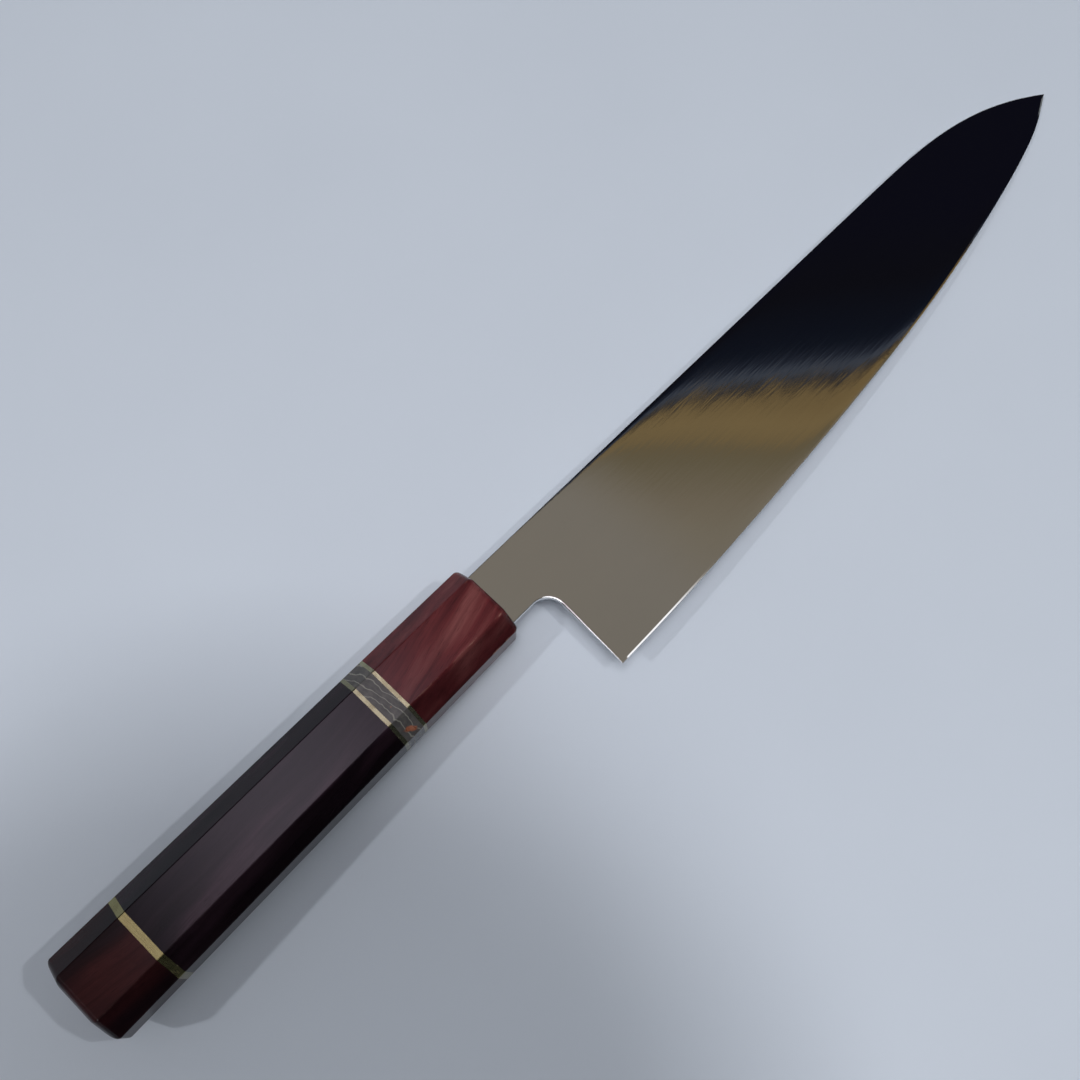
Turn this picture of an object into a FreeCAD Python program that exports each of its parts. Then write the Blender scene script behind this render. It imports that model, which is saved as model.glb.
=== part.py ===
import FreeCAD, Part
import math
import os

# A chef's knife with a hidden-tang blade and an octagonal handle built up on a dowel.
# The knife is drawn in its own design frame, in millimetres: the origin is on the handle's
# axis just ahead of its front face, +X runs to the blade's tip, +Y to the spine, and the
# blade's mid-plane is z = 0. It is then laid on the table, right side of the blade uppermost.

# Blade
BLADE_TIP_X = 220.95
BLADE_TIP_Y = -9.2
SPINE_Y = 8.4              # spine height above the handle's axis where it leaves the handle
SPINE_FALL = 0.0165        # fall of the straight part of the spine per millimetre
SPINE_DROP_X = 155.0       # the spine starts to curve down to the tip here
SPINE_DROP_POWER = 3.5
EDGE_POINTS = [
    (-8.0, -35.9), (11.0, -35.85), (31.7, -35.6), (59.1, -34.6), (87.5, -33.1), (116.9, -30.95),
    (147.6, -27.75), (179.8, -22.3), (200.0, -17.7), (213.0, -13.3), (BLADE_TIP_X, BLADE_TIP_Y),
]
BLADE_THICKNESS = 2.3      # across the spine at the neck
TIP_THICKNESS = 0.5
TAPER_POWER = 2.2
GRIND_POWER = 1.6          # how the convex faces close in from the spine to the edge
BEVEL_HEIGHT = 0.7         # the small sharpened bevel
BEVEL_THICKNESS = 0.32     # blade thickness at the top of that bevel
EDGE_THICKNESS = 0.04
SPINE_EASE = 0.25          # corner taken off each side of the spine
BLADE_STATIONS = [-5.3, 15.0, 35.0, 60.0, 90.0, 120.0, 145.0, 165.0, 180.0, 192.0, 202.0, 209.0, 214.0,
                  217.5, 219.6, 220.85]

# Neck, choil and heel
NECK_BOTTOM_Y = -8.6
CHOIL_X = 11.5
CHOIL_RADIUS = 5.2
HEEL_X = 11.05
CHOIL_ROUND = 0.1          # all along the notch, limited by the thin steel at the heel

# Tang
NECK_BACK_X = -5.3         # the full-height neck ends here, inside the ferrule
TANG_END_X = -88.0
TANG_HEIGHT = (9.6, 5.0)   # at the shoulders and at its end
TANG_THICKNESS = (2.0, 1.4)

# Handle, a tapered octagon; its section grows evenly towards the butt
HANDLE_FRONT_X = -1.3
HANDLE_BUTT_X = -139.0
TAPER = 0.159 / 140.0              # growth of the section per millimetre of length
HALF_WIDTH = 11.06                 # along Y, at x = 0
HALF_DEPTH = 9.63                  # along Z, at x = 0
TOP_FACET_HALF = 6.10              # along Y, at x = 0
SIDE_FACET_HALF = 4.46             # along Z, at x = 0
FRONT_ROUND = (1.8, 2.2)           # along X and inwards
BUTT_ROUND = (2.6, 7.5)
CORNER_ROUND = 0.5                 # on the eight long edges
END_STEPS = 5

# Where each piece of the handle starts and ends along X
JOINTS = {
    "ferrule": (HANDLE_FRONT_X, -35.2),
    "front_spacer": (-35.2, -36.2),
    "marbled_ring": (-36.2, -41.6),
    "middle_spacer": (-41.6, -42.7),
    "handle_body": (-42.7, -116.3),
    "rear_spacer": (-116.3, -118.4),
    "end_cap": (-118.4, HANDLE_BUTT_X),
}

# Hidden core
SLOT_BACK_X = -6.3         # back of the ferrule's mouth, where the dowel starts
SLOT_GAP = 0.35            # bedding all round the steel
MOUTH_GAP = 0.3            # above and below the neck where it enters the ferrule
BEDDING_FRONT_X = -1.9     # the bedding stops just inside the ferrule
DOWEL_RADIUS = 6.0
DOWEL_END_X = -98.0
GLUE_GAP = 0.05
REAR_DOWEL_RADIUS = 4.0
REAR_DOWEL_X = (-105.0, -129.0)


def box_between(x0, x1, half_y, half_z):
    """A box centred on the handle's axis from x0 to x1."""
    corner = FreeCAD.Vector(min(x0, x1), -half_y, -half_z)
    return Part.makeBox(abs(x1 - x0), 2.0 * half_y, 2.0 * half_z, corner)


def rod_between(x0, x1, radius):
    """A rod on the handle's axis from x0 to x1."""
    start = FreeCAD.Vector(min(x0, x1), 0.0, 0.0)
    return Part.makeCylinder(radius, abs(x1 - x0), start, FreeCAD.Vector(1.0, 0.0, 0.0))


def solid_of(shape):
    """The single solid in a shape, as a plain solid."""
    solids = shape.Solids
    if len(solids) != 1:
        raise ValueError("expected one solid, found %d" % len(solids))
    return solids[0]


def spine_y(x):
    """Height of the spine at x."""
    straight = SPINE_Y - SPINE_FALL * x
    if x <= SPINE_DROP_X:
        return straight
    full_drop = SPINE_Y - SPINE_FALL * BLADE_TIP_X - BLADE_TIP_Y
    along = (x - SPINE_DROP_X) / (BLADE_TIP_X - SPINE_DROP_X)
    return straight - full_drop * along ** SPINE_DROP_POWER


def edge_y(x, curve):
    """Height of the cutting edge at x, found on the edge curve."""
    low = curve.FirstParameter
    high = curve.LastParameter
    for _ in range(50):
        middle = 0.5 * (low + high)
        if curve.value(middle).x < x:
            low = middle
        else:
            high = middle
    return curve.value(low).y


def blade_section(x, curve):
    """Closed wire across the blade at x, from the spine down to the edge and back."""
    top = spine_y(x)
    height = top - edge_y(x, curve)
    along = max(x, 0.0) / BLADE_TIP_X
    half = 0.5 * (TIP_THICKNESS + (BLADE_THICKNESS - TIP_THICKNESS) * (1.0 - along ** TAPER_POWER))
    ease = min(SPINE_EASE, 0.25 * half, 0.06 * height)
    bevel = min(BEVEL_HEIGHT, 0.2 * height)
    shoulder = min(0.5 * BEVEL_THICKNESS, 0.6 * half)
    edge_half = 0.5 * EDGE_THICKNESS
    face_top = top - ease
    face_height = height - ease - bevel

    def face_point(down, side):
        closed = (half - shoulder) * down ** GRIND_POWER
        return FreeCAD.Vector(x, face_top - down * face_height, side * (half - closed))

    downs = [0.0, 0.2, 0.4, 0.6, 0.8, 1.0]
    upper = [face_point(down, 1.0) for down in downs]
    lower = [face_point(down, -1.0) for down in reversed(downs)]
    upper_face = Part.BSplineCurve()
    upper_face.interpolate(upper)
    lower_face = Part.BSplineCurve()
    lower_face.interpolate(lower)
    spine_upper = FreeCAD.Vector(x, top, half - ease)
    spine_lower = FreeCAD.Vector(x, top, ease - half)
    edge_upper = FreeCAD.Vector(x, top - height, edge_half)
    edge_lower = FreeCAD.Vector(x, top - height, -edge_half)
    edges = [
        Part.makeLine(spine_lower, spine_upper),
        Part.makeLine(spine_upper, upper[0]),
        upper_face.toShape(),
        Part.makeLine(upper[-1], edge_upper),
        Part.makeLine(edge_upper, edge_lower),
        Part.makeLine(edge_lower, lower[0]),
        lower_face.toShape(),
        Part.makeLine(lower[-1], spine_lower),
    ]
    return Part.Wire(edges)


def choil_cutter():
    """The notch under the neck, from the ferrule to the heel."""
    arc_start = FreeCAD.Vector(CHOIL_X - CHOIL_RADIUS, NECK_BOTTOM_Y, -5.0)
    arc_end = FreeCAD.Vector(CHOIL_X, NECK_BOTTOM_Y - CHOIL_RADIUS, -5.0)
    diagonal = CHOIL_RADIUS * math.sqrt(0.5)
    arc_middle = FreeCAD.Vector(arc_start.x + diagonal, arc_end.y + diagonal, -5.0)
    heel = FreeCAD.Vector(HEEL_X - 0.1, -41.0, -5.0)
    corner = FreeCAD.Vector(-20.0, -41.0, -5.0)
    neck = FreeCAD.Vector(-20.0, NECK_BOTTOM_Y, -5.0)
    edges = [
        Part.makeLine(neck, arc_start),
        Part.Arc(arc_start, arc_middle, arc_end).toShape(),
        Part.makeLine(arc_end, heel),
        Part.makeLine(heel, corner),
        Part.makeLine(corner, neck),
    ]
    return Part.Face(Part.Wire(edges)).extrude(FreeCAD.Vector(0.0, 0.0, 10.0))


def on_choil(edge):
    """True for the two long outlines of the notch: neck, arc and wall."""
    box = edge.BoundBox
    if box.XMin < -1.0 and box.XMax < 3.0:
        return False
    if box.XMax > CHOIL_X + 0.3 or box.YMax > NECK_BOTTOM_Y + 0.3:
        return False
    flat = box.ZMax < -0.1 or box.ZMin > 0.1
    return flat and edge.Length > 3.0


def make_tang():
    """Tapered tang behind the neck, entering the dowel."""
    wires = []
    for end, x in enumerate((NECK_BACK_X + 0.5, TANG_END_X)):
        half_y = 0.5 * TANG_HEIGHT[end]
        half_z = 0.5 * TANG_THICKNESS[end]
        corners = [
            FreeCAD.Vector(x, half_y, half_z),
            FreeCAD.Vector(x, -half_y, half_z),
            FreeCAD.Vector(x, -half_y, -half_z),
            FreeCAD.Vector(x, half_y, -half_z),
        ]
        wires.append(Part.makePolygon(corners + corners[:1]))
    return Part.makeLoft(wires, True, True)


def make_blade():
    """Blade, neck and tang forged in one piece."""
    curve = Part.BSplineCurve()
    curve.interpolate([FreeCAD.Vector(x, y, 0.0) for x, y in EDGE_POINTS])
    sections = [blade_section(x, curve) for x in BLADE_STATIONS]
    blade = Part.makeLoft(sections, True, False)
    blade = solid_of(blade.cut(choil_cutter()))
    rounded = [edge for edge in blade.Edges if on_choil(edge)]
    blade = blade.makeFillet(CHOIL_ROUND, rounded)
    return solid_of(blade.fuse(make_tang()))


def handle_corners(x):
    """Corners of the sharp octagon across the handle at x, in order round it."""
    scale = 1.0 - TAPER * x
    wide, deep = HALF_WIDTH * scale, HALF_DEPTH * scale
    top, side = TOP_FACET_HALF * scale, SIDE_FACET_HALF * scale
    half = [(wide, side), (top, deep), (-top, deep), (-wide, side)]
    ring = half + [(-y, -z) for y, z in half]
    return [FreeCAD.Vector(x, y, z) for y, z in ring]


def handle_section(x, inset):
    """Edges round the handle at x with all its sides moved in by the inset.

    They alternate between the softened corners, which are arcs, and the straight sides.
    """
    corners = handle_corners(x)
    count = len(corners)
    sides = []
    for i in range(count):
        along = (corners[(i + 1) % count] - corners[i]).normalize()
        inward = FreeCAD.Vector(0.0, -along.z, along.y)
        sides.append((corners[i] + inward * inset, along))
    arcs = []
    starts = []
    ends = []
    for i in range(count):
        before, after = sides[i - 1], sides[i]
        sine = before[1].cross(after[1]).x
        shift = (after[0] - before[0]).cross(after[1]).x / sine
        corner = before[0] + before[1] * shift
        half_turn = 0.5 * math.asin(sine)
        reach = CORNER_ROUND * math.tan(half_turn)
        depth = CORNER_ROUND / math.cos(half_turn) - CORNER_ROUND
        inward = (after[1] - before[1]).normalize()
        starts.append(corner - before[1] * reach)
        ends.append(corner + after[1] * reach)
        arcs.append(Part.Arc(starts[i], corner + inward * depth, ends[i]).toShape())
    edges = []
    for i in range(count):
        edges.append(arcs[i])
        edges.append(Part.makeLine(ends[i], starts[(i + 1) % count]))
    return edges


def make_shaft(x0, x1):
    """The straight length of the handle, with flat facets and softened long edges."""
    front = handle_section(x0, 0.0)
    back = handle_section(x1, 0.0)
    faces = [Part.Face(Part.Wire(front)), Part.Face(Part.Wire(back))]
    for i, (near, far) in enumerate(zip(front, back)):
        if i % 2 == 0:
            faces.append(Part.makeRuledSurface(near, far))
        else:
            first, second = near.Vertexes[0].Point, near.Vertexes[1].Point
            third, fourth = far.Vertexes[1].Point, far.Vertexes[0].Point
            faces.append(Part.Face(Part.makePolygon([first, second, third, fourth, first])))
    shell = Part.Shell(faces)
    shell.sewShape()
    return Part.Solid(shell)


def rounded_end(end_x, full_x, inset):
    """The part of the handle that closes in, on an elliptical curve, to its end face."""
    wires = []
    for step in range(END_STEPS + 1):
        angle = 0.5 * math.pi * step / END_STEPS
        x = full_x + (end_x - full_x) * math.cos(angle)
        wires.append(Part.Wire(handle_section(x, inset * (1.0 - math.sin(angle)))))
    return Part.makeLoft(wires, True, False)


def make_handle_form():
    """The whole outside of the handle, before it is divided into its pieces."""
    front_x = HANDLE_FRONT_X - FRONT_ROUND[0]
    butt_x = HANDLE_BUTT_X + BUTT_ROUND[0]
    shaft = make_shaft(front_x, butt_x)
    front = rounded_end(HANDLE_FRONT_X, front_x, FRONT_ROUND[1])
    butt = rounded_end(HANDLE_BUTT_X, butt_x, BUTT_ROUND[1])
    return solid_of(shaft.fuse([front, butt]))


def slice_of(form, span):
    """The length of the handle between two joint planes."""
    return form.common(box_between(span[0], span[1], 30.0, 30.0))


def tang_slot(x0, x1, half_y0, half_y1, half_z):
    """Slot or bedding volume round the tang, tapering in height from x0 to x1."""
    wires = []
    for x, half_y in ((x0, half_y0), (x1, half_y1)):
        corners = [
            FreeCAD.Vector(x, half_y, half_z),
            FreeCAD.Vector(x, -half_y, half_z),
            FreeCAD.Vector(x, -half_y, -half_z),
            FreeCAD.Vector(x, half_y, -half_z),
        ]
        wires.append(Part.makePolygon(corners + corners[:1]))
    return Part.makeLoft(wires, True, True)


def make_slot():
    """Everything the bedding fills: the neck's mouth in the ferrule and the slot behind it."""
    mouth_half = SPINE_Y + SLOT_GAP
    slot_half_z = 0.5 * BLADE_THICKNESS + SLOT_GAP
    mouth = tang_slot(BEDDING_FRONT_X, SLOT_BACK_X, mouth_half, mouth_half, slot_half_z)
    end_x = TANG_END_X - 1.0
    front_half = 0.5 * TANG_HEIGHT[0] + SLOT_GAP
    end_half = 0.5 * TANG_HEIGHT[1] + SLOT_GAP
    rear = tang_slot(SLOT_BACK_X, end_x, front_half, end_half, slot_half_z)
    return mouth, rear


def make_pieces():
    """Every piece by name, still in the design frame."""
    form = make_handle_form()
    blade = make_blade()
    mouth, rear = make_slot()
    mouth_y = SPINE_Y + MOUTH_GAP
    mouth_z = 0.5 * BLADE_THICKNESS + 0.05
    neck_hole = tang_slot(HANDLE_FRONT_X + 1.0, BEDDING_FRONT_X, mouth_y, mouth_y, mouth_z)
    core_bore = rod_between(SLOT_BACK_X, DOWEL_END_X, DOWEL_RADIUS)
    rear_bore = rod_between(REAR_DOWEL_X[0], REAR_DOWEL_X[1], REAR_DOWEL_RADIUS)
    hollow = core_bore.fuse([rear_bore, mouth, neck_hole])
    pieces = {"blade": blade}
    for name, span in JOINTS.items():
        length = slice_of(form, span)
        pieces[name] = solid_of(length.cut(hollow))
    dowel = rod_between(SLOT_BACK_X, DOWEL_END_X + GLUE_GAP, DOWEL_RADIUS - GLUE_GAP)
    pieces["core_dowel"] = solid_of(dowel.cut(rear))
    pieces["tang_bedding"] = solid_of(mouth.fuse(rear).cut(blade))
    rear_radius = REAR_DOWEL_RADIUS - GLUE_GAP
    pieces["rear_dowel"] = rod_between(REAR_DOWEL_X[0] - GLUE_GAP, REAR_DOWEL_X[1] + GLUE_GAP, rear_radius)
    return pieces


def rest_placement():
    """Tilt that sets the blade's tip and the ferrule's lower front edge on one level."""
    contact_x = HANDLE_FRONT_X - FRONT_ROUND[0]
    reach = BLADE_TIP_X - contact_x
    drop = HALF_DEPTH * (1.0 - TAPER * contact_x) - 0.5 * TIP_THICKNESS
    tilt = math.degrees(math.atan2(drop, reach))
    turn = FreeCAD.Rotation(FreeCAD.Vector(0.0, 1.0, 0.0), tilt)
    return FreeCAD.Placement(FreeCAD.Vector(0.0, 0.0, 0.0), turn)


os.makedirs("parts", exist_ok=True)
pieces = make_pieces()
turned = rest_placement()
for piece in pieces.values():
    piece.Placement = turned.multiply(piece.Placement)
box = Part.makeCompound(list(pieces.values())).optimalBoundingBox(False)
centre = FreeCAD.Vector(0.5 * (box.XMin + box.XMax), 0.5 * (box.YMin + box.YMax), box.ZMin)
for name, piece in pieces.items():
    piece.translate(centre.negative())
    piece.exportStep("parts/%s.step" % name)
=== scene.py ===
import math
from collections import namedtuple

import bpy
from mathutils import Matrix, Vector
from mathutils.geometry import delaunay_2d_cdt


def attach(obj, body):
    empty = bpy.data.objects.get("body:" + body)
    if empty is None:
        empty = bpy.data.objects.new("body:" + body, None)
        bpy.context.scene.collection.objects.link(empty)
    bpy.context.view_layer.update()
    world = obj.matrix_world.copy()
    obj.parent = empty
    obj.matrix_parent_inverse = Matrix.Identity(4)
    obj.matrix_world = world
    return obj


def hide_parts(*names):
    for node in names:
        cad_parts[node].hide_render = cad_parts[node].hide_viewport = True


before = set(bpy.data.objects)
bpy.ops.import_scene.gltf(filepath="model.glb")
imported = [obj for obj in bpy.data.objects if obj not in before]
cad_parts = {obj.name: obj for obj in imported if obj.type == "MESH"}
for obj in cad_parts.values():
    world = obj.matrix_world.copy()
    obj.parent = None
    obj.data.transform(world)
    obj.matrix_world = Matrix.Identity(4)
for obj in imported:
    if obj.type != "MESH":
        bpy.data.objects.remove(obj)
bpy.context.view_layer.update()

MM_PER_METRE = 1000.0
MM = 1.0 / MM_PER_METRE

# ---------------------------------------------------------------- design frame
# The knife's own frame has its origin at the centre of the handle's front face, X along
# the handle to the blade's tip, Y to the spine and Z square to the blade. Lying on the
# table, the knife leans by REST_TILT about Y.
REST_TILT = math.radians(2.4059805)
DESIGN_ORIGIN = Vector((-0.0408176, 0.0115266, 0.0095264))
design_to_frame = Matrix.Translation(DESIGN_ORIGIN) @ Matrix.Rotation(REST_TILT, 4, "Y")

# ---------------------------------------------------------------- blade, mm
TIP = (220.95, -9.2)
SPINE_Y = 8.4
SPINE_FALL = 0.0165         # fall for each mm of length, before the drop to the tip
SPINE_DROP_X = 155.0
SPINE_DROP_POWER = 3.5
EDGE_POINTS = [
    (-8.0, -35.9), (11.0, -35.85), (31.7, -35.6), (59.1, -34.6), (87.5, -33.1), (116.9, -30.95),
    (147.6, -27.75), (179.8, -22.3), (200.0, -17.7), (213.0, -13.3), TIP,
]
NECK_BACK_X = -5.2          # the neck ends inside the ferrule
NECK_BOTTOM_Y = -8.6
CHOIL_X = 11.5
CHOIL_RADIUS = 5.2
HEEL = (11.05, -35.85)
BLADE_THICKNESS = 2.3
TIP_THICKNESS = 0.5
TAPER_POWER = 2.2           # how late the blade thins towards the tip
GRIND_POWER = 1.6           # how late it thins from the spine towards the edge
BEVEL_HEIGHT = 0.42
BEVEL_THICKNESS = 0.32
EDGE_HALF = 0.02            # half thickness left at the cutting edge
EDGE_ROLL = (0.075, 1.5)    # depth of the rolled polish behind the bevel, and its reach
SPINE_ROLL = (0.065, 0.7)   # the same below the spine
SPINE_EASE = 0.25           # width of the eased corners
CHOIL_EASE = 0.45
SPINE_KEEP = 0.7            # part of the half thickness that the easing leaves
CHOIL_KEEP = 0.35
NORMAL_STEP = 0.05          # distance over which the face's slope is taken

# Spacing of the mesh points.
NECK_POINTS = 12
ARC_POINTS = 24
HEEL_POINTS = 22
LONG_SIDE_POINTS = 150
ROWS_BELOW_SPINE = [0.15, 0.4, 0.8, 1.4]
ROWS_ABOVE_BEVEL = [0.35, 0.8, 1.4, 2.2, 3.2]
ROW_GAP = 1.2
COLUMN_GAP = 1.4
BORDER_ROWS = 5
SIDES = (1.0, -1.0)

RimPoint = namedtuple("RimPoint", "x y out width keep kind")


def spline_through(points):
    """Natural cubic spline y(x) through points with rising x, as a function."""
    xs = [p[0] for p in points]
    ys = [p[1] for p in points]
    n = len(xs)
    gaps = [xs[i + 1] - xs[i] for i in range(n - 1)]
    slope = [(ys[i + 1] - ys[i]) / gaps[i] for i in range(n - 1)]
    lower = [0.0] * n
    value = [0.0] * n
    for i in range(1, n - 1):
        width = 2.0 * (xs[i + 1] - xs[i - 1]) - gaps[i - 1] * lower[i - 1]
        lower[i] = gaps[i] / width
        value[i] = (6.0 * (slope[i] - slope[i - 1]) - gaps[i - 1] * value[i - 1]) / width
    bend = [0.0] * n
    for i in range(n - 2, 0, -1):
        bend[i] = value[i] - lower[i] * bend[i + 1]

    def curve(x):
        i = 0
        while i < n - 2 and x > xs[i + 1]:
            i += 1
        a = (xs[i + 1] - x) / gaps[i]
        b = 1.0 - a
        cubic = (a ** 3 - a) * bend[i] + (b ** 3 - b) * bend[i + 1]
        return a * ys[i] + b * ys[i + 1] + cubic * gaps[i] ** 2 / 6.0

    return curve


edge_y = spline_through(EDGE_POINTS)


def spine_y(x):
    """Height of the spine: straight, then falling ever faster to the tip."""
    straight = SPINE_Y - SPINE_FALL * x
    if x <= SPINE_DROP_X:
        return straight
    full_drop = SPINE_Y - SPINE_FALL * TIP[0] - TIP[1]
    along = (x - SPINE_DROP_X) / (TIP[0] - SPINE_DROP_X)
    return straight - full_drop * along ** SPINE_DROP_POWER


def half_thickness(x, y):
    """Half the blade's thickness at a point of its face.

    The small limits keep the face sound at the tip, where it has almost no height.
    """
    along = min(max(x, 0.0) / TIP[0], 1.0)
    half = 0.5 * (TIP_THICKNESS + (BLADE_THICKNESS - TIP_THICKNESS) * (1.0 - along ** TAPER_POWER))
    top = spine_y(x)
    height = max(top - edge_y(x) - BEVEL_HEIGHT, 0.3)
    down = min(max((top - y) / height, 0.0), 1.02)
    shoulder = min(0.5 * BEVEL_THICKNESS, 0.6 * half)
    ground = half - (half - shoulder) * down ** GRIND_POWER
    above_edge = max(y - edge_y(x) - BEVEL_HEIGHT, 0.0)
    below_spine = max(top - y, 0.0)
    edge_roll = min(EDGE_ROLL[0], 0.4 * shoulder) * math.exp(-above_edge / EDGE_ROLL[1])
    spine_roll = min(SPINE_ROLL[0], 0.3 * half) * math.exp(-below_spine / SPINE_ROLL[1])
    return ground - edge_roll - spine_roll


def face_normal(x, y, side):
    """Outward normal of the polished face, from the slopes of the thickness."""
    step = NORMAL_STEP
    slope_x = (half_thickness(x + step, y) - half_thickness(x - step, y)) / (2.0 * step)
    slope_y = (half_thickness(x, y + step) - half_thickness(x, y - step)) / (2.0 * step)
    return Vector((-slope_x, -slope_y, side)).normalized()


def blade_outline():
    """Points round the blade, anticlockwise seen from above, as (x, y, kind)."""
    points = []
    arc_x = CHOIL_X - CHOIL_RADIUS
    arc_y = NECK_BOTTOM_Y - CHOIL_RADIUS
    for i in range(NECK_POINTS):
        points.append((NECK_BACK_X + (arc_x - NECK_BACK_X) * i / NECK_POINTS, NECK_BOTTOM_Y, "choil"))
    for i in range(ARC_POINTS):
        angle = 0.5 * math.pi * (1.0 - i / ARC_POINTS)
        x = arc_x + CHOIL_RADIUS * math.cos(angle)
        points.append((x, arc_y + CHOIL_RADIUS * math.sin(angle), "choil"))
    for i in range(HEEL_POINTS):
        x = CHOIL_X + (HEEL[0] - CHOIL_X) * i / HEEL_POINTS
        points.append((x, arc_y + (HEEL[1] - arc_y) * i / HEEL_POINTS, "choil"))
    for i in range(LONG_SIDE_POINTS):
        turn = 0.5 * math.pi * i / LONG_SIDE_POINTS
        x = HEEL[0] + (TIP[0] - HEEL[0]) * math.sin(turn)
        points.append((x, edge_y(x), "edge"))
    for i in range(LONG_SIDE_POINTS + 1):
        turn = 0.5 * math.pi * i / LONG_SIDE_POINTS
        x = TIP[0] + (NECK_BACK_X - TIP[0]) * (1.0 - math.cos(turn))
        points.append((x, spine_y(x), "spine"))
    return points


def face_rows(top, low):
    """Heights of the mesh rows between the spine and the bevel, closer near both.

    Near the tip, where these don't fit, there are three even rows.
    """
    middle = top - low - ROWS_BELOW_SPINE[-1] - ROWS_ABOVE_BEVEL[-1]
    if middle < 1.0:
        return [low + (top - low) * part for part in (0.25, 0.5, 0.75)]
    rows = [top - step for step in ROWS_BELOW_SPINE] + [low + step for step in ROWS_ABOVE_BEVEL]
    count = max(int(middle / ROW_GAP), 1)
    rows += [low + ROWS_ABOVE_BEVEL[-1] + middle * j / count for j in range(1, count)]
    return rows


def face_points():
    """Mesh points inside the polished face, in columns along the blade.

    They keep clear of the neck's lower border and of the heel's back border.
    """
    points = []
    x = NECK_BACK_X + 1.0
    while x < TIP[0] - 1.5:
        for y in face_rows(spine_y(x) - SPINE_EASE, edge_y(x) + BEVEL_HEIGHT):
            if x > CHOIL_X + 0.7 or y > NECK_BOTTOM_Y + 0.6:
                points.append(Vector((x, y)))
        x += COLUMN_GAP
    return points


def blade_rim(outline):
    """The outline's points, each with its outward direction and the width of its border.

    keep is the half thickness left at the cutting edge; at the spine and choil it is the
    part of the half thickness that the eased corner leaves.
    """
    rim = []
    for i, (x, y, kind) in enumerate(outline):
        before, after = outline[i - 1], outline[(i + 1) % len(outline)]
        run = Vector((after[0] - before[0], after[1] - before[1])).normalized()
        outward = Vector((run.y, -run.x))
        if kind == "edge":
            room = 0.2 * (spine_y(x) - y)
            rim.append(RimPoint(x, y, outward, min(BEVEL_HEIGHT, room), EDGE_HALF, kind))
        elif kind == "spine":
            room = 0.06 * (y - edge_y(x))
            rim.append(RimPoint(x, y, outward, min(SPINE_EASE, room), SPINE_KEEP, kind))
        else:
            half = half_thickness(x, max(y, edge_y(x) + BEVEL_HEIGHT))
            rim.append(RimPoint(x, y, outward, min(CHOIL_EASE, 0.6 * half), CHOIL_KEEP, kind))
    return rim


def border_section(spot, half, row):
    """How far in from the rim a border row lies, its height, and its normal on the top side."""
    if spot.kind == "edge":
        part = row / BORDER_ROWS
        rise = half - spot.keep
        normal = Vector((spot.out.x * rise, spot.out.y * rise, spot.width))
        return spot.width * (1.0 - part), half + (spot.keep - half) * part, normal
    angle = 0.5 * math.pi * row / BORDER_ROWS
    low = max(half - spot.width, spot.keep * half)
    normal = Vector((spot.out.x * math.sin(angle), spot.out.y * math.sin(angle), math.cos(angle)))
    return spot.width * (1.0 - math.sin(angle)), low + (half - low) * math.cos(angle), normal


class Shell:
    """Points, faces and corner normals of a mesh, gathered part by part."""

    def __init__(self):
        self.points = []
        self.faces = []
        self.normals = []

    def add_face(self, indices, normals):
        """One face, with a normal for each of its corners."""
        self.faces.append(indices)
        self.normals.extend(normals)

    def add_polished_side(self, side, places, faces):
        """One polished face of the blade, from its flat layout."""
        base = len(self.points)
        for place in places:
            self.points.append((place.x, place.y, side * half_thickness(place.x, place.y)))
        for face in faces:
            corners = list(face) if side > 0 else list(reversed(face))
            normals = [face_normal(places[k].x, places[k].y, side) for k in corners]
            self.add_face([base + k for k in corners], normals)

    def add_border_row(self, side, row, rim, inner):
        """Points of one border row; returns the index of its first point and its normals."""
        start = len(self.points)
        normals = []
        for spot, root in zip(rim, inner):
            offset, z, normal = border_section(spot, half_thickness(root.x, root.y), row)
            self.points.append((spot.x - spot.out.x * offset, spot.y - spot.out.y * offset, side * z))
            normal.z *= side
            normals.append(normal.normalized())
        return start, normals

    def add_strip(self, side, first, second):
        """The ring of quads between two border rows."""
        (start_a, normals_a), (start_b, normals_b) = first, second
        count = len(normals_a)
        for i in range(count):
            j = (i + 1) % count
            quad = [start_a + i, start_b + i, start_b + j, start_a + j]
            quad_normals = [normals_a[i], normals_b[i], normals_b[j], normals_a[j]]
            if side < 0:
                quad.reverse()
                quad_normals.reverse()
            self.add_face(quad, quad_normals)

    def add_rim_band(self, top, bottom, rim):
        """The narrow band round the rim that joins the two sides."""
        for i in range(len(rim)):
            j = (i + 1) % len(rim)
            out_i = Vector((rim[i].out.x, rim[i].out.y, 0.0))
            out_j = Vector((rim[j].out.x, rim[j].out.y, 0.0))
            self.add_face([top + i, bottom + i, bottom + j, top + j], [out_i, out_i, out_j, out_j])


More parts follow.
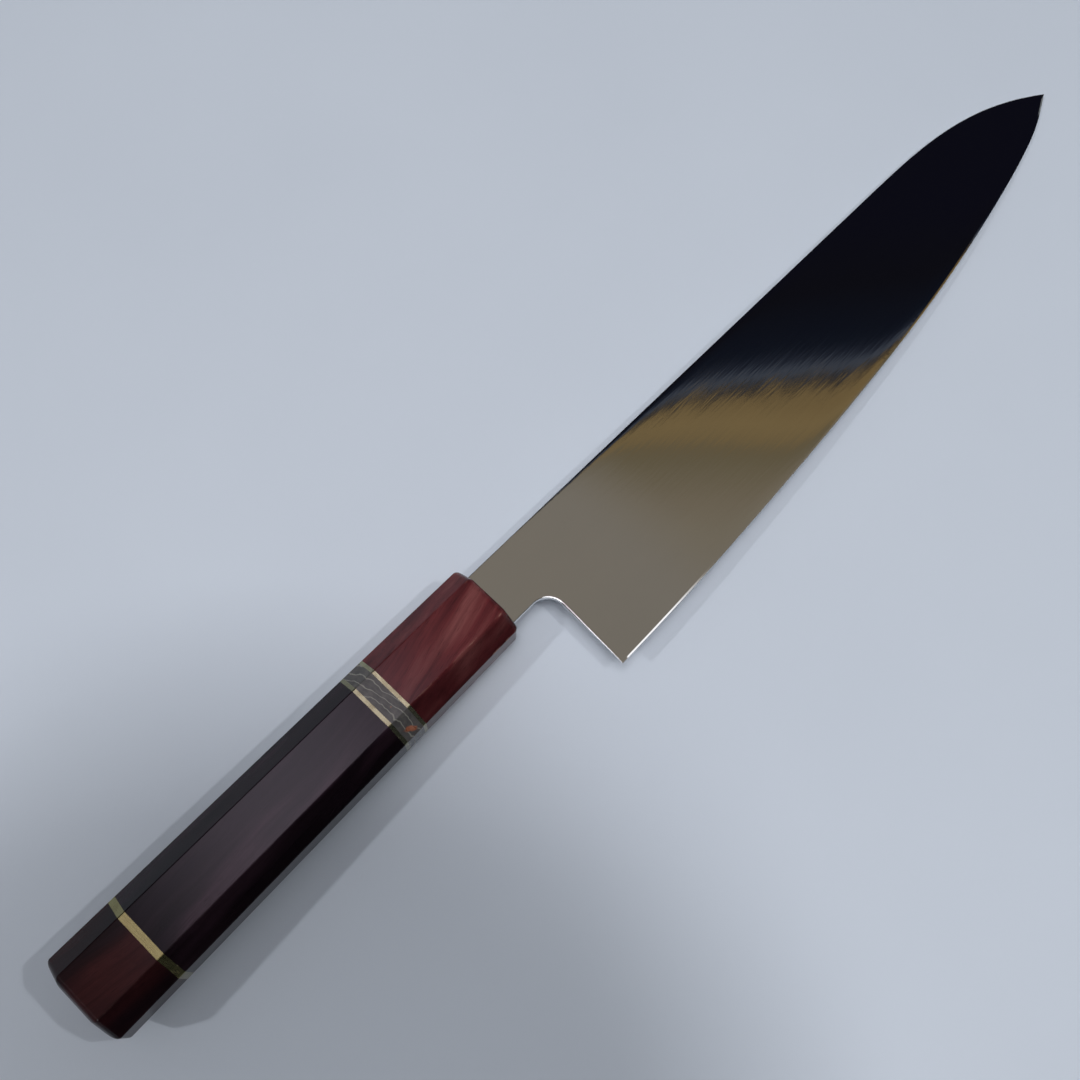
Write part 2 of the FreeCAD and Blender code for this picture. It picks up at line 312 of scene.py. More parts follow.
def make_blade():
    """The polished blade as one mesh without gaps, with exact normals on its faces.

    Material 0 is the polished faces, and material 1 is the bevel and the eased borders.
    """
    rim = blade_rim(blade_outline())
    inner = [Vector((spot.x - spot.out.x * spot.width, spot.y - spot.out.y * spot.width)) for spot in rim]
    loop = list(range(len(rim)))
    layout = delaunay_2d_cdt(inner + face_points(), [], [loop], 1, 1e-7)
    places, triangles = layout[0], layout[2]

    shell = Shell()
    for side in SIDES:
        shell.add_polished_side(side, places, triangles)
    polished_count = len(shell.faces)
    rows = {}
    for side in SIDES:
        rows[side] = [shell.add_border_row(side, row, rim, inner) for row in range(BORDER_ROWS + 1)]
    for side in SIDES:
        for first, second in zip(rows[side], rows[side][1:]):
            shell.add_strip(side, first, second)
    top, bottom = [rows[side][-1][0] for side in SIDES]
    shell.add_rim_band(top, bottom, rim)

    mesh = bpy.data.meshes.new("polished_blade")
    mesh.from_pydata([Vector(point) * MM for point in shell.points], [], shell.faces)
    for index, polygon in enumerate(mesh.polygons):
        polygon.use_smooth = True
        polygon.material_index = 0 if index < polished_count else 1
    mesh.normals_split_custom_set(shell.normals)
    mesh.update()
    blade = bpy.data.objects.new("polished_blade", mesh)
    bpy.context.scene.collection.objects.link(blade)
    blade.matrix_world = design_to_frame
    return blade


blade = make_blade()
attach(blade, "root")
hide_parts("blade")


# ---------------------------------------------------------------- materials
# The handle's section at its front face, mm.
HALF_WIDTH = 11.06
HALF_DEPTH = 9.63
TOP_FACET_HALF = 6.10       # half the width of the top facet
SIDE_FACET_HALF = 4.46      # half the height of a side facet
HANDLE_TAPER = 0.159 / 140.0    # growth for each mm towards the butt
OIL_IOR = 1.31              # the thin finish on the wood and the ring
PORE_COLOUR = (0.006, 0.003, 0.004)
# The colour of the painted shade on the handle's chamfers and side facets.
PAINTED_SHADE_COLOUR = (0.004, 0.001, 0.0015)
SALMON_CENTRE = (-38.6, -10.2, 6.4)
SALMON_TURN = 38.0


class Graph:
    """The nodes of one material, added and wired in short calls."""

    def __init__(self, name):
        self.material = bpy.data.materials.new(name)
        self.material.use_nodes = True
        self.nodes = self.material.node_tree.nodes
        self.links = self.material.node_tree.links
        self.shader = self.nodes["Principled BSDF"]

    def put(self, socket, value):
        """Wire a socket, or set its value."""
        if isinstance(value, bpy.types.NodeSocket):
            self.links.new(value, socket)
        else:
            socket.default_value = value

    def add(self, kind, inputs, out=0, **settings):
        """Add a node and return one of its outputs."""
        node = self.nodes.new("ShaderNode" + kind)
        for key, value in settings.items():
            setattr(node, key, value)
        for key, value in inputs.items():
            self.put(node.inputs[key], value)
        return node.outputs[out]

    def math(self, operation, a, b=0.0):
        """The result of a Math node."""
        return self.add("Math", {0: a, 1: b}, operation=operation)

    def band(self, value, low, high, start=0.0, end=1.0):
        """A smooth step from start to end as the value goes from low to high."""
        inputs = {"Value": value, "From Min": low, "From Max": high, "To Min": start, "To Max": end}
        return self.add("MapRange", inputs, interpolation_type="SMOOTHSTEP")

    def noise(self, point, scale, seed, detail=3.0, rough=0.5):
        """Noise with its own scale on each axis."""
        place = (seed, 1.7 * seed, -seed)
        moved = self.add("Mapping", {"Vector": point, "Scale": scale, "Location": place})
        return self.add("TexNoise", {"Vector": moved, "Scale": 1.0, "Detail": detail, "Roughness": rough})

    def ramp(self, value, stops):
        """A colour ramp through (position, colour) stops."""
        socket = self.add("ValToRGB", {"Fac": value})
        elements = socket.node.color_ramp.elements
        while len(elements) < len(stops):
            elements.new(0.5)
        for element, (position, colour) in zip(elements, stops):
            element.position = position
            element.color = (*colour, 1.0)
        return socket

    def mix(self, factor, a, b, blend="MIX"):
        """Colour a blended with colour b by the factor; each is a colour or a socket."""
        a, b = [(*c, 1.0) if isinstance(c, tuple) and len(c) == 3 else c for c in (a, b)]
        inputs = {0: factor, 6: a, 7: b}
        return self.add("Mix", inputs, out=2, data_type="RGBA", blend_type=blend)

    def bump(self, height, distance, strength=1.0):
        """Relief on the surface, its depth in metres."""
        normal = self.add("Bump", {"Height": height, "Distance": distance, "Strength": strength})
        self.put(self.shader.inputs["Normal"], normal)

    def set(self, **values):
        """Set the shader's inputs, named with _ for each space."""
        for key, value in values.items():
            self.put(self.shader.inputs[key.replace("_", " ")], value)

    def glow(self, colour):
        """Make the surface a plain light of a colour instead."""
        light = self.add("Emission", {"Color": colour, "Strength": 1.0})
        self.nodes.remove(self.shader)
        self.links.new(light, self.nodes["Material Output"].inputs["Surface"])


def knife_point(graph, turn=0.0):
    """A point in the knife's own frame in mm, turned about Z by degrees."""
    place = graph.add("TexCoord", {}, out="Object")
    turned = Matrix.Rotation(-REST_TILT, 3, "Y")
    shift = turned @ DESIGN_ORIGIN * -MM_PER_METRE
    inputs = {"Scale": (MM_PER_METRE,) * 3, "Rotation": (0.0, -REST_TILT, 0.0), "Location": shift}
    point = graph.add("Mapping", {"Vector": place, **inputs})
    return graph.add("Mapping", {"Vector": point, "Rotation": (0.0, 0.0, math.radians(turn))})


def frame_point(graph):
    """A point in the model's frame, in mm."""
    place = graph.add("TexCoord", {}, out="Object")
    return graph.add("Mapping", {"Vector": place, "Scale": (MM_PER_METRE,) * 3})


def facet_edges(graph, point, reach):
    """1 on the long edges between the handle's facets, fading to 0 at the reach in mm."""
    axes = graph.add("SeparateXYZ", {0: point}).node.outputs
    grow = graph.math("SUBTRACT", 1.0, graph.math("MULTIPLY", axes[0], HANDLE_TAPER))
    across = graph.math("DIVIDE", graph.math("ABSOLUTE", axes[1]), grow)
    up = graph.math("DIVIDE", graph.math("ABSOLUTE", axes[2]), grow)
    flat = graph.add("CombineXYZ", {0: across, 1: up})
    corners = []
    for y, z in ((TOP_FACET_HALF, HALF_DEPTH), (HALF_WIDTH, SIDE_FACET_HALF)):
        inputs = {0: flat, 1: (y, z, 0.0)}
        corners.append(graph.add("VectorMath", inputs, out="Value", operation="DISTANCE"))
    nearest = graph.math("MINIMUM", corners[0], corners[1])
    return graph.band(nearest, 0.0, reach, 1.0, 0.0)


def wood_grain(graph, turn, seed):
    """Coordinates that follow the grain: turned, and drifting slowly to and fro."""
    grain = knife_point(graph, turn)
    drift = graph.noise(grain, (0.03, 0.05, 0.05), seed + 3.0, 2.0)
    drift = graph.math("MULTIPLY", graph.math("SUBTRACT", drift, 0.5), 7.0)
    axes = graph.add("SeparateXYZ", {0: grain}).node.outputs
    across = graph.math("ADD", axes[1], drift)
    return graph.add("CombineXYZ", {0: axes[0], 1: across, 2: axes[2]}), across


def wear_and_highlight_mask(graph, point, axes, seed):
    """1 on the facet edges that wear and a painted highlight lighten, most near the front and on the heel's
    side.
    """
    edge_breakup = graph.noise(point, (0.25, 0.5, 0.5), seed + 41.0, 4.0, 0.7)
    wear_and_highlight_reach = graph.band(axes[0], -16.0, -7.0, 0.3, 1.0)
    wear_and_highlight_reach = graph.math("MULTIPLY", wear_and_highlight_reach, graph.band(axes[1], -3.0, 3.0, 1.0, 0.25))
    worn_and_lit = graph.math("MULTIPLY", facet_edges(graph, point, 0.42), graph.band(edge_breakup, 0.5, 0.62))
    return graph.math("MULTIPLY", worn_and_lit, wear_and_highlight_reach)


def wood(name, heart, streak, dark, turn, seed, wear_and_highlight_colour, wear_and_highlight,
         bands, heel_side_painted_shade=0.62, spine_side_painted_shade=0.0, coat=0.82, streaks=()):
    """Oiled hardwood: slow colour figure, growth streaks, fibres, open pores, facet edges lightened by wear
    and a painted highlight, and painted shade on the side facets.

    The heel-side and spine-side shade arguments darken the chamfers and side facets on those two sides with
    painted shade.
    streaks are single streaks of the figure, as (place across the grain, reach, lift).
    """
    graph = Graph(name)
    point = knife_point(graph)
    axes = graph.add("SeparateXYZ", {0: point}).node.outputs
    bent, across = wood_grain(graph, turn, seed)
    figure = graph.noise(bent, (0.022, 0.16 * bands, 0.16 * bands), seed, 2.0, 0.45)
    growth = graph.noise(bent, (0.02, 0.6 * bands, 0.6 * bands), seed + 11.0, 2.0, 0.5)
    fibre = graph.noise(bent, (0.12, 3.2, 3.2), seed + 23.0, 2.0, 0.6)
    pores = graph.band(graph.noise(bent, (0.35, 5.5, 5.5), seed + 31.0, 1.0, 0.5), 0.60, 0.72)
    for place, reach, lift in streaks:
        away = graph.math("ABSOLUTE", graph.math("SUBTRACT", across, place))
        figure = graph.math("ADD", figure, graph.band(away, 0.0, reach, lift, 0.0))

    colour = graph.ramp(figure, [(0.36, dark), (0.5, heart), (0.62, streak)])
    growth_stops = [(0.30, (0.45, 0.4, 0.42)), (0.47, (0.95, 0.93, 0.93)), (0.7, (1.2, 1.2, 1.2))]
    colour = graph.mix(0.6, colour, graph.ramp(growth, growth_stops), "MULTIPLY")
    fibre_stops = [(0.3, (0.78, 0.76, 0.76)), (0.7, (1.2, 1.2, 1.2))]
    colour = graph.mix(0.6, colour, graph.ramp(fibre, fibre_stops), "MULTIPLY")
    # Painted shade: the chamfers and side facets, beyond about 7 mm from the middle, are darkened on the
    # heel's side and on the spine's side.
    lower = graph.band(axes[1], -7.2, -6.2, heel_side_painted_shade, 0.0)
    upper = graph.band(axes[1], 6.0, 7.0, 0.0, spine_side_painted_shade)
    colour = graph.mix(graph.math("ADD", lower, upper), colour, PAINTED_SHADE_COLOUR)
    colour = graph.mix(graph.math("MULTIPLY", pores, 0.4), colour, PORE_COLOUR)
    # Lighter facet edges: partly wear, partly a painted highlight.
    worn_and_lit = wear_and_highlight_mask(graph, point, axes, seed)
    colour = graph.mix(graph.math("MULTIPLY", worn_and_lit, wear_and_highlight), colour, wear_and_highlight_colour)

    shine = graph.noise(point, (0.06, 0.12, 0.12), seed + 53.0, 3.0)
    rough = graph.band(shine, 0.3, 0.7, 0.44, 0.56)
    rough = graph.math("ADD", rough, graph.math("MULTIPLY", pores, 0.15))
    relief = graph.math("SUBTRACT", graph.math("MULTIPLY", fibre, 0.35), pores)
    graph.bump(relief, 0.00004, 0.6)
    graph.set(Base_Color=colour, Roughness=rough)
    graph.set(Coat_Weight=coat, Coat_Roughness=0.15, Coat_IOR=OIL_IOR, Specular_IOR_Level=0.0)
    return graph.material


def brass(name, colour, seed, tarnish):
    """Satin brass, finished across the handle, with dull patches."""
    graph = Graph(name)
    point = knife_point(graph)
    lines = graph.noise(point, (9.0, 0.5, 0.5), seed, 2.0)
    cloud = graph.noise(point, (0.3, 0.35, 0.35), seed + 7.0, 4.0, 0.6)
    dull = graph.band(cloud, 0.42, 0.66)
    shade = graph.ramp(lines, [(0.3, (0.82, 0.8, 0.76)), (0.7, (1.1, 1.1, 1.1))])
    tone = graph.mix(0.8, (*colour, 1.0), shade, "MULTIPLY")
    tone = graph.mix(graph.math("MULTIPLY", dull, tarnish), tone, (0.20, 0.16, 0.08))
    rough = graph.math("ADD", graph.band(cloud, 0.35, 0.7, 0.17, 0.25), graph.math("MULTIPLY", lines, 0.08))
    graph.bump(lines, 0.000006, 0.5)
    graph.set(Base_Color=tone, Roughness=rough, Metallic=1.0)
    return graph.material


def salmon_mask(graph, point):
    """1 on the slanting inclusion in the chamfer on the heel's side, and on small ones elsewhere."""
    moved = graph.add("Mapping", {"Vector": point, "Location": [-c for c in SALMON_CENTRE]})
    turned = graph.add("Mapping", {"Vector": moved, "Rotation": (0.0, 0.0, math.radians(SALMON_TURN))})
    lean = graph.add("Mapping", {"Vector": turned, "Scale": (0.33, 1.2, 0.8)})
    away = graph.add("VectorMath", {0: lean}, out="Value", operation="LENGTH")
    wobble = graph.noise(point, (0.8, 0.8, 0.8), 2.0)
    away = graph.math("ADD", away, graph.math("MULTIPLY", wobble, 1.2))
    near = graph.band(away, 1.2, 1.7, 1.0, 0.0)
    others = graph.band(graph.noise(point, (0.22, 0.22, 0.22), 33.0), 0.71, 0.74)
    return graph.math("MAXIMUM", near, others)


def marbled_resin():
    """Grey layered composite with thin pale contour lines and salmon inclusions."""
    graph = Graph("layered_composite")
    point = knife_point(graph)
    axes = graph.add("SeparateXYZ", {0: point}).node.outputs
    wave = graph.noise(point, (0.10, 0.09, 0.09), 4.2, 1.0, 0.4)
    ripple = graph.noise(point, (0.35, 0.35, 0.35), 9.1, 2.0, 0.5)
    slope = graph.math("ADD", axes[0], graph.math("MULTIPLY", axes[1], 0.16))
    level = graph.math("ADD", slope, graph.math("MULTIPLY", wave, 9.0))
    level = graph.math("ADD", level, graph.math("MULTIPLY", ripple, 1.6))
    fold = graph.math("PINGPONG", graph.math("MULTIPLY", level, 0.95), 1.0)
    line = graph.band(fold, 0.0, 0.2, 1.0, 0.0)
    fine_fold = graph.math("PINGPONG", graph.math("MULTIPLY", level, 1.9), 1.0)
    fine = graph.band(fine_fold, 0.0, 0.5, 1.0, 0.0)
    cloud = graph.noise(point, (0.4, 0.4, 0.4), 15.0, 3.0, 0.6)
    grey_stops = [
        (0.3, (0.075, 0.068, 0.067)), (0.55, (0.108, 0.098, 0.095)), (0.75, (0.145, 0.130, 0.120)),
    ]
    base = graph.ramp(cloud, grey_stops)
    base = graph.mix(graph.math("MULTIPLY", fine, 0.35), base, (0.13, 0.12, 0.10))
    base = graph.mix(graph.math("MULTIPLY", line, 0.8), base, (0.34, 0.32, 0.27))
    salmon = graph.ramp(cloud, [(0.35, (0.28, 0.07, 0.03)), (0.6, (0.45, 0.17, 0.10))])
    salmon = graph.mix(graph.math("MULTIPLY", line, 0.6), salmon, (0.10, 0.03, 0.02))
    base = graph.mix(salmon_mask(graph, point), base, salmon)
    scratches = graph.noise(point, (4.0, 0.6, 0.6), 21.0, 2.0)
    graph.bump(scratches, 0.000012, 0.5)
    graph.set(Base_Color=base, Roughness=graph.band(cloud, 0.3, 0.7, 0.40, 0.5))
    graph.set(Coat_Weight=0.82, Coat_Roughness=0.14, Coat_IOR=OIL_IOR, Specular_IOR_Level=0.0)
    return graph.material


def mirror_steel():
    """Mirror-polished steel with the last fine scratches of the polishing wheel."""
    graph = Graph("mirror_steel")
    point = frame_point(graph)
    long_scratch = graph.noise(point, (0.10, 0.95, 0.95), 3.0, 1.0, 0.5)
    short_scratch = graph.noise(point, (0.25, 2.4, 2.4), 13.0, 1.0, 0.5)
    height = graph.math("ADD", long_scratch, graph.math("MULTIPLY", short_scratch, 0.3))
    smear = graph.noise(point, (0.03, 0.05, 0.05), 7.0, 4.0, 0.65)
    rough = graph.band(smear, 0.35, 0.7, 0.03, 0.05)
    tone = graph.ramp(smear, [(0.3, (0.80, 0.79, 0.775)), (0.7, (0.77, 0.765, 0.755))])
    graph.bump(height, 0.000005)
    graph.set(Base_Color=tone, Roughness=rough, Metallic=1.0)
    return graph.material


def ground_steel():
    """The ground bevel and the eased edges, with fine stone marks."""
    graph = Graph("ground_steel")
    point = frame_point(graph)
    marks = graph.noise(point, (6.0, 0.7, 0.7), 5.0, 2.0, 0.6)
    tone = graph.ramp(marks, [(0.3, (0.74, 0.74, 0.74)), (0.7, (0.88, 0.88, 0.88))])
    graph.bump(marks, 0.000004)
    graph.set(Base_Color=tone, Roughness=graph.band(marks, 0.3, 0.7, 0.26, 0.38), Metallic=1.0)
    return graph.material


def plain_wood(name, pale, dark, seed):
    """Bare dowel wood inside the handle."""
    graph = Graph(name)
    point = knife_point(graph)
    grain = graph.noise(point, (0.05, 0.9, 0.9), seed, 4.0, 0.6)
    colour = graph.ramp(grain, [(0.35, dark), (0.65, pale)])
    graph.bump(grain, 0.00005, 0.6)
    graph.set(Base_Color=colour, Roughness=graph.band(grain, 0.3, 0.7, 0.6, 0.75))
    return graph.material


def set_epoxy():
    """Cured filling round the tang."""
    graph = Graph("set_epoxy")
    point = knife_point(graph)
    cloud = graph.noise(point, (0.5, 0.5, 0.5), 2.0, 3.0)
    colour = graph.ramp(cloud, [(0.3, (0.30, 0.25, 0.16)), (0.7, (0.42, 0.36, 0.25))])
    graph.bump(cloud, 0.00003, 0.5)
    graph.set(Base_Color=colour, Roughness=graph.band(cloud, 0.3, 0.7, 0.35, 0.5))
    return graph.material


def give(node, *materials):
    """Put materials on a piece, or on the CAD node of that name."""
    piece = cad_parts[node] if isinstance(node, str) else node
    piece.data.materials.clear()
    for material in materials:
        piece.data.materials.append(material)


give(blade, mirror_steel(), ground_steel())
# The handle's woods darken their chamfers and side facets with painted shade, and lighten some facet edges
# with wear and a painted highlight.
give("ferrule", wood(
    "ferrule_wood", heart=(0.130, 0.023, 0.025), streak=(0.205, 0.058, 0.056), dark=(0.080, 0.013, 0.016),
    turn=-14.0, seed=1.0, wear_and_highlight_colour=(0.42, 0.22, 0.17), wear_and_highlight=0.8, bands=0.9, heel_side_painted_shade=0.5,
    streaks=((4.4, 3.0, 0.11), (-0.3, 1.3, -0.08)),
))
give("handle_body", wood(
    "body_wood", heart=(0.020, 0.010, 0.017), streak=(0.048, 0.024, 0.036), dark=(0.008, 0.004, 0.009),
    turn=-3.0, seed=5.0, wear_and_highlight_colour=(0.16, 0.12, 0.12), wear_and_highlight=0.35, bands=0.8, spine_side_painted_shade=0.5,
))
give("end_cap", wood(
    "cap_wood", heart=(0.036, 0.009, 0.011), streak=(0.060, 0.014, 0.015), dark=(0.015, 0.006, 0.009),
    turn=10.0, seed=8.0, wear_and_highlight_colour=(0.20, 0.08, 0.07), wear_and_highlight=0.3, bands=0.8, heel_side_painted_shade=0.4,
    spine_side_painted_shade=0.4, coat=0.68,
))
give("front_spacer", brass("front_brass", colour=(0.34, 0.33, 0.21), seed=1.0, tarnish=0.3))
give("middle_spacer", brass("middle_brass", colour=(0.25, 0.243, 0.155), seed=4.0, tarnish=0.3))
give("rear_spacer", brass("rear_brass", colour=(0.28, 0.256, 0.118), seed=6.0, tarnish=0.2))
give("marbled_ring", marbled_resin())
give("core_dowel", plain_wood("core_wood", pale=(0.52, 0.38, 0.22), dark=(0.36, 0.24, 0.13), seed=3.0))
give("rear_dowel", plain_wood("rear_wood", pale=(0.50, 0.37, 0.22), dark=(0.34, 0.23, 0.13), seed=9.0))
give("tang_bedding", set_epoxy())

# ---------------------------------------------------------------- stage, metres
TABLE_SIZE = 6.0
TABLE_DROP = 0.0002         # keeps the table's face clear of the knife's lowest points
CARD_SIZE = 5.0
CEILING_HEIGHT = 2.0
WALL_DISTANCE = 2.5
WALL_HEIGHT = 1.0
WALL_GLOW = (0.032, 0.030, 0.037)
BACKDROP_RADIUS = 9.0
BACKDROP_GLOW = (0.47, 0.51, 0.58)
SKY_COLOUR = (0.86, 0.93, 1.0, 1.0)
LAMP_COLOUR = (0.95, 0.98, 1.0)
SHADE_RADIUS = 0.118
SHADE_PLACE = (-0.182, -0.055, 0.15)
OTHER_RAYS = ("diffuse", "transmission", "volume_scatter", "shadow")

bpy.context.scene.view_settings.view_transform = "Standard"


def staged(name, *materials):
    """Name the newest object and give it its materials."""
    thing = bpy.context.object
    thing.name = name
    give(thing, *materials)
    return thing


def hide_from(thing, *rays):
    """Keep an object out of the named kinds of ray."""
    for ray in rays:
        setattr(thing, "visible_" + ray, False)


def table_material():
    """Smooth pale table with a very faint cloudiness."""
    graph = Graph("pale_table")
    place = graph.add("TexCoord", {}, out="Object")
    cloud = graph.noise(place, (14.0, 14.0, 14.0), 2.0, 3.0, 0.5)
    tone = graph.ramp(cloud, [(0.3, (0.75, 0.79, 0.875)), (0.7, (0.77, 0.81, 0.895))])
    graph.bump(graph.noise(place, (900.0, 900.0, 900.0), 1.0, 2.0), 0.00002, 0.3)
    graph.set(Base_Color=tone, Roughness=0.5)
    return graph.material


bpy.ops.mesh.primitive_plane_add(size=TABLE_SIZE, location=(0.0, 0.0, -TABLE_DROP))
staged("table_top", table_material())

# The ceiling that the polished steel reflects: warm and grey over the heel, a gold edge,
# and dark beyond it. It is seen only in reflections. The stops are (place, colour), with
# colours from 0 to 255 as they look in the steel.
CEILING_SLOPE = (0.7227, 0.6912, 0.0)    # the direction across the bands
CEILING_LEAN = (-0.064, -0.167)          # the warm bands' shift and lean against the dark ones
WARM_STOPS = [
    (0.40, (110, 104, 94)), (0.62, (108, 101, 88)), (0.68, (104, 96, 82)), (0.73, (98, 90, 74)),
    (0.775, (92, 84, 66)), (0.800, (92, 82, 62)), (0.825, (103, 88, 61)), (0.855, (108, 92, 63)),
    (0.900, (102, 86, 58)), (1.100, (98, 82, 54)),
]
DARK_STOPS = [
    (0.890, (44, 39, 34)), (0.912, (38, 38, 40)), (0.925, (41, 43, 48)), (0.943, (57, 62, 71)),
    (0.957, (44, 49, 59)), (0.972, (26, 30, 40)), (0.998, (15, 19, 28)), (1.030, (13, 16, 25)),
    (1.140, (12, 12, 18)), (1.300, (11, 11, 20)),
]
COOL_GREY = (111, 106, 98)
STEEL_SHARE = 0.78          # part of the light that the steel reflects
COOL_END = (0.62, 0.78)     # the warm part turns grey below these X
BOUNDARY = (0.894, 0.910)   # where warm turns dark, along the slope
BOUNDARY_FRINGE = 0.20      # how far the streaks there reach
PANEL_GLOW = (3.7, 3.3, 3.9)
PANEL_CENTRE = (0.02, 0.4)
PANEL_SQUEEZE = (2.9, 1.6, 1.0)    # makes an ellipse of a round panel
WINDOW_GLOW = (4.0, 4.1, 4.3)


def linear(value):
    """A linear colour value from one between 0 and 255 as displayed."""
    value /= 255.0
    return value / 12.92 if value <= 0.04045 else ((value + 0.055) / 1.055) ** 2.4


def seen_in_steel(colour):
    """The emission that looks like the colour when the steel reflects it."""
    return tuple(linear(c) / STEEL_SHARE for c in colour)


def glow_ramp(graph, value, stops):
    """Emission colours at places in metres, given as they look in the steel."""
    low, high = stops[0][0], stops[-1][0]
    part = graph.add("MapRange", {"Value": value, "From Min": low, "From Max": high})
    return graph.ramp(part, [((place - low) / (high - low), seen_in_steel(c)) for place, c in stops])


def distance_along(graph, place, direction):
    """How far a place lies along a direction."""
    return graph.add("VectorMath", {0: place, 1: direction}, out="Value", operation="DOT_PRODUCT")


def steel_bands(graph, place, axes):
    """The warm part and the dark part, with a ragged boundary between them."""
    along = distance_along(graph, place, CEILING_SLOPE)
    across = distance_along(graph, place, (-CEILING_SLOPE[1], CEILING_SLOPE[0], 0.0))
    shift, lean = CEILING_LEAN
    leaning = graph.math("ADD", along, graph.math("ADD", graph.math("MULTIPLY", across, lean), shift))
    warm = glow_ramp(graph, leaning, WARM_STOPS)
    warm = graph.mix(graph.band(axes[0], *COOL_END), seen_in_steel(COOL_GREY), warm)
    dark = glow_ramp(graph, along, DARK_STOPS)
    fringe = graph.math("SUBTRACT", graph.noise(place, (9.0, 220.0, 1.0), 4.0, 1.0, 0.5), 0.5)
    ragged = graph.math("ADD", along, graph.math("MULTIPLY", fringe, BOUNDARY_FRINGE))
    return graph.mix(graph.band(ragged, *BOUNDARY), warm, dark)


def panel_mask(graph, place):
    """1 at the middle of the soft bright panel that the handle's top facets reflect."""
    centred = graph.add("Mapping", {"Vector": place, "Location": (-PANEL_CENTRE[0], -PANEL_CENTRE[1], 0.0)})
    squeezed = graph.add("Mapping", {"Vector": centred, "Scale": PANEL_SQUEEZE})
    distance = graph.add("VectorMath", {0: squeezed}, out="Value", operation="LENGTH")
    return graph.band(distance, 0.1, 1.1, 1.0, 0.0)


def window_mask(graph, axes):
    """1 on the bright places that the choil's eased edge and the ground bevel reflect."""
    far_end = graph.band(axes[0], -1.0, -0.8, 1.0, 0.0)
    far_end = graph.math("MULTIPLY", far_end, graph.band(axes[1], 0.32, 0.37, 1.0, 0.0))
    near_side = graph.band(axes[1], -0.29, -0.24, 1.0, 0.0)
    near_side = graph.math("MULTIPLY", near_side, graph.band(axes[0], 0.46, 0.50))
    near_side = graph.math("MULTIPLY", near_side, graph.band(axes[0], 0.62, 0.78, 0.28, 0.0))
    near_side = graph.math("MULTIPLY", near_side, graph.band(axes[1], -0.85, -0.72))
    return graph.math("MAXIMUM", far_end, near_side)


def ceiling_material():
    """The reflected ceiling, as a light with a pattern."""
    graph = Graph("ceiling_glow")
    place = graph.add("TexCoord", {}, out="Object")
    axes = graph.add("SeparateXYZ", {0: place}).node.outputs
    colour = steel_bands(graph, place, axes)
    colour = graph.mix(panel_mask(graph, place), colour, PANEL_GLOW)
    colour = graph.mix(window_mask(graph, axes), colour, WINDOW_GLOW)
    graph.glow(colour)
    return graph.material


def plain_glow(name, colour):
    """A surface that gives off one plain colour."""
    graph = Graph(name)
    graph.glow((*colour, 1.0))
    return graph.material


bpy.ops.mesh.primitive_plane_add(size=CARD_SIZE, location=(0.0, 0.0, CEILING_HEIGHT))
ceiling = staged("reflected_ceiling", ceiling_material())
hide_from(ceiling, "camera", *OTHER_RAYS)

# A dark wall past the spine, seen only in reflections.
wall_place = (0.0, WALL_DISTANCE, WALL_HEIGHT)
bpy.ops.mesh.primitive_plane_add(size=CARD_SIZE, location=wall_place, rotation=(math.radians(90.0), 0.0, 0.0))
wall = staged("reflected_wall", plain_glow("wall_glow", WALL_GLOW))
hide_from(wall, "camera", *OTHER_RAYS)

# A pale backdrop past the table, seen only directly, in views from the side.
bpy.ops.mesh.primitive_uv_sphere_add(segments=48, ring_count=24, radius=BACKDROP_RADIUS)
backdrop = staged("pale_backdrop", plain_glow("backdrop_glow", BACKDROP_GLOW))
hide_from(backdrop, "glossy", *OTHER_RAYS)


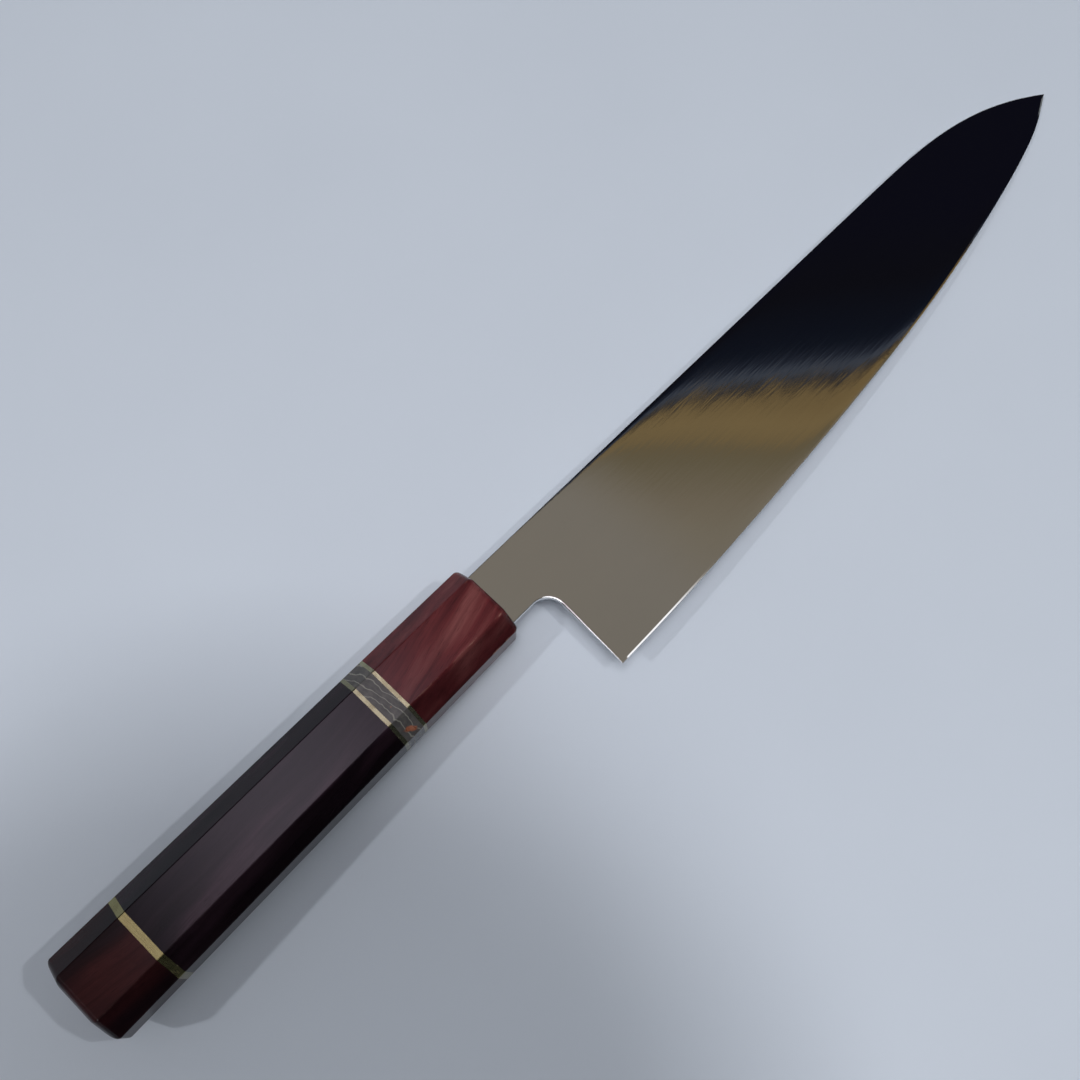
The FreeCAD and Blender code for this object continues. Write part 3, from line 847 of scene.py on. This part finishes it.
def studio_sky():
    """The room's soft light: even overhead, dark towards the side where the viewer stands."""
    world = bpy.data.worlds.new("studio")
    world.use_nodes = True
    sky = world.node_tree.nodes
    links = world.node_tree.links
    direction = sky.new("ShaderNodeTexCoord").outputs["Generated"]
    split = sky.new("ShaderNodeSeparateXYZ")
    links.new(direction, split.inputs[0])
    fade = sky.new("ShaderNodeMapRange")
    fade.interpolation_type = "SMOOTHSTEP"
    limits = {"From Min": -0.75, "From Max": -0.15, "To Min": 0.03, "To Max": 0.21}
    for key, value in limits.items():
        fade.inputs[key].default_value = value
    links.new(split.outputs["Y"], fade.inputs["Value"])
    sky["Background"].inputs["Color"].default_value = SKY_COLOUR
    links.new(fade.outputs[0], sky["Background"].inputs["Strength"])
    return world


bpy.context.scene.world = studio_sky()


def lamp(name, slope, height, size, energy):
    """A square lamp that points at the origin; slope is its X and Y for each metre of height."""
    data = bpy.data.lights.new(name, "AREA")
    data.size = size
    data.energy = energy
    data.color = LAMP_COLOUR
    light = bpy.data.objects.new(name, data)
    light.location = (slope[0] * height, slope[1] * height, height)
    light.rotation_euler = (-light.location).to_track_quat("-Z", "Y").to_euler()
    bpy.context.scene.collection.objects.link(light)
    return light


left = lamp("lamp_left", slope=(-0.76, 0.46), height=1.8, size=0.08, energy=6.7)
right = lamp("lamp_right", slope=(0.213, -0.364), height=0.69, size=0.022, energy=0.66)
overhead = lamp("lamp_overhead", slope=(-0.05, -0.05), height=1.8, size=0.7, energy=11.3)
for light in (overhead, right):
    hide_from(light, "glossy")

# A round shade between the overhead lamp and the table round the butt. The two side lamps
# leave it out of what blocks them, so they shine through it.
bpy.ops.mesh.primitive_circle_add(vertices=48, radius=SHADE_RADIUS, fill_type="NGON", location=SHADE_PLACE)
shade = staged("shade_flag")
hide_from(shade, "camera", "glossy", "diffuse")
side_lamp_blockers = bpy.data.collections.new("side_lamp_blockers")
side_lamp_blockers.objects.link(shade)
side_lamp_blockers.collection_objects[0].light_linking.link_state = "EXCLUDE"
left.light_linking.blocker_collection = side_lamp_blockers
right.light_linking.blocker_collection = side_lamp_blockers

CAMERA_PLACE = (-0.093849, -0.05953, 0.381758)
CAMERA_TURN = (15.50489, 0.35242, -46.24254)    # degrees
SENSOR_WIDTH = 36.0         # mm
FOCAL_LENGTH = 49.2417
camera_data = bpy.data.cameras.new("camera")
camera_data.sensor_width = SENSOR_WIDTH
camera_data.lens = FOCAL_LENGTH
camera_data.clip_start = 0.01
camera = bpy.data.objects.new("camera", camera_data)
camera.location = CAMERA_PLACE
camera.rotation_euler = [math.radians(angle) for angle in CAMERA_TURN]
bpy.context.scene.collection.objects.link(camera)
bpy.context.scene.camera = camera
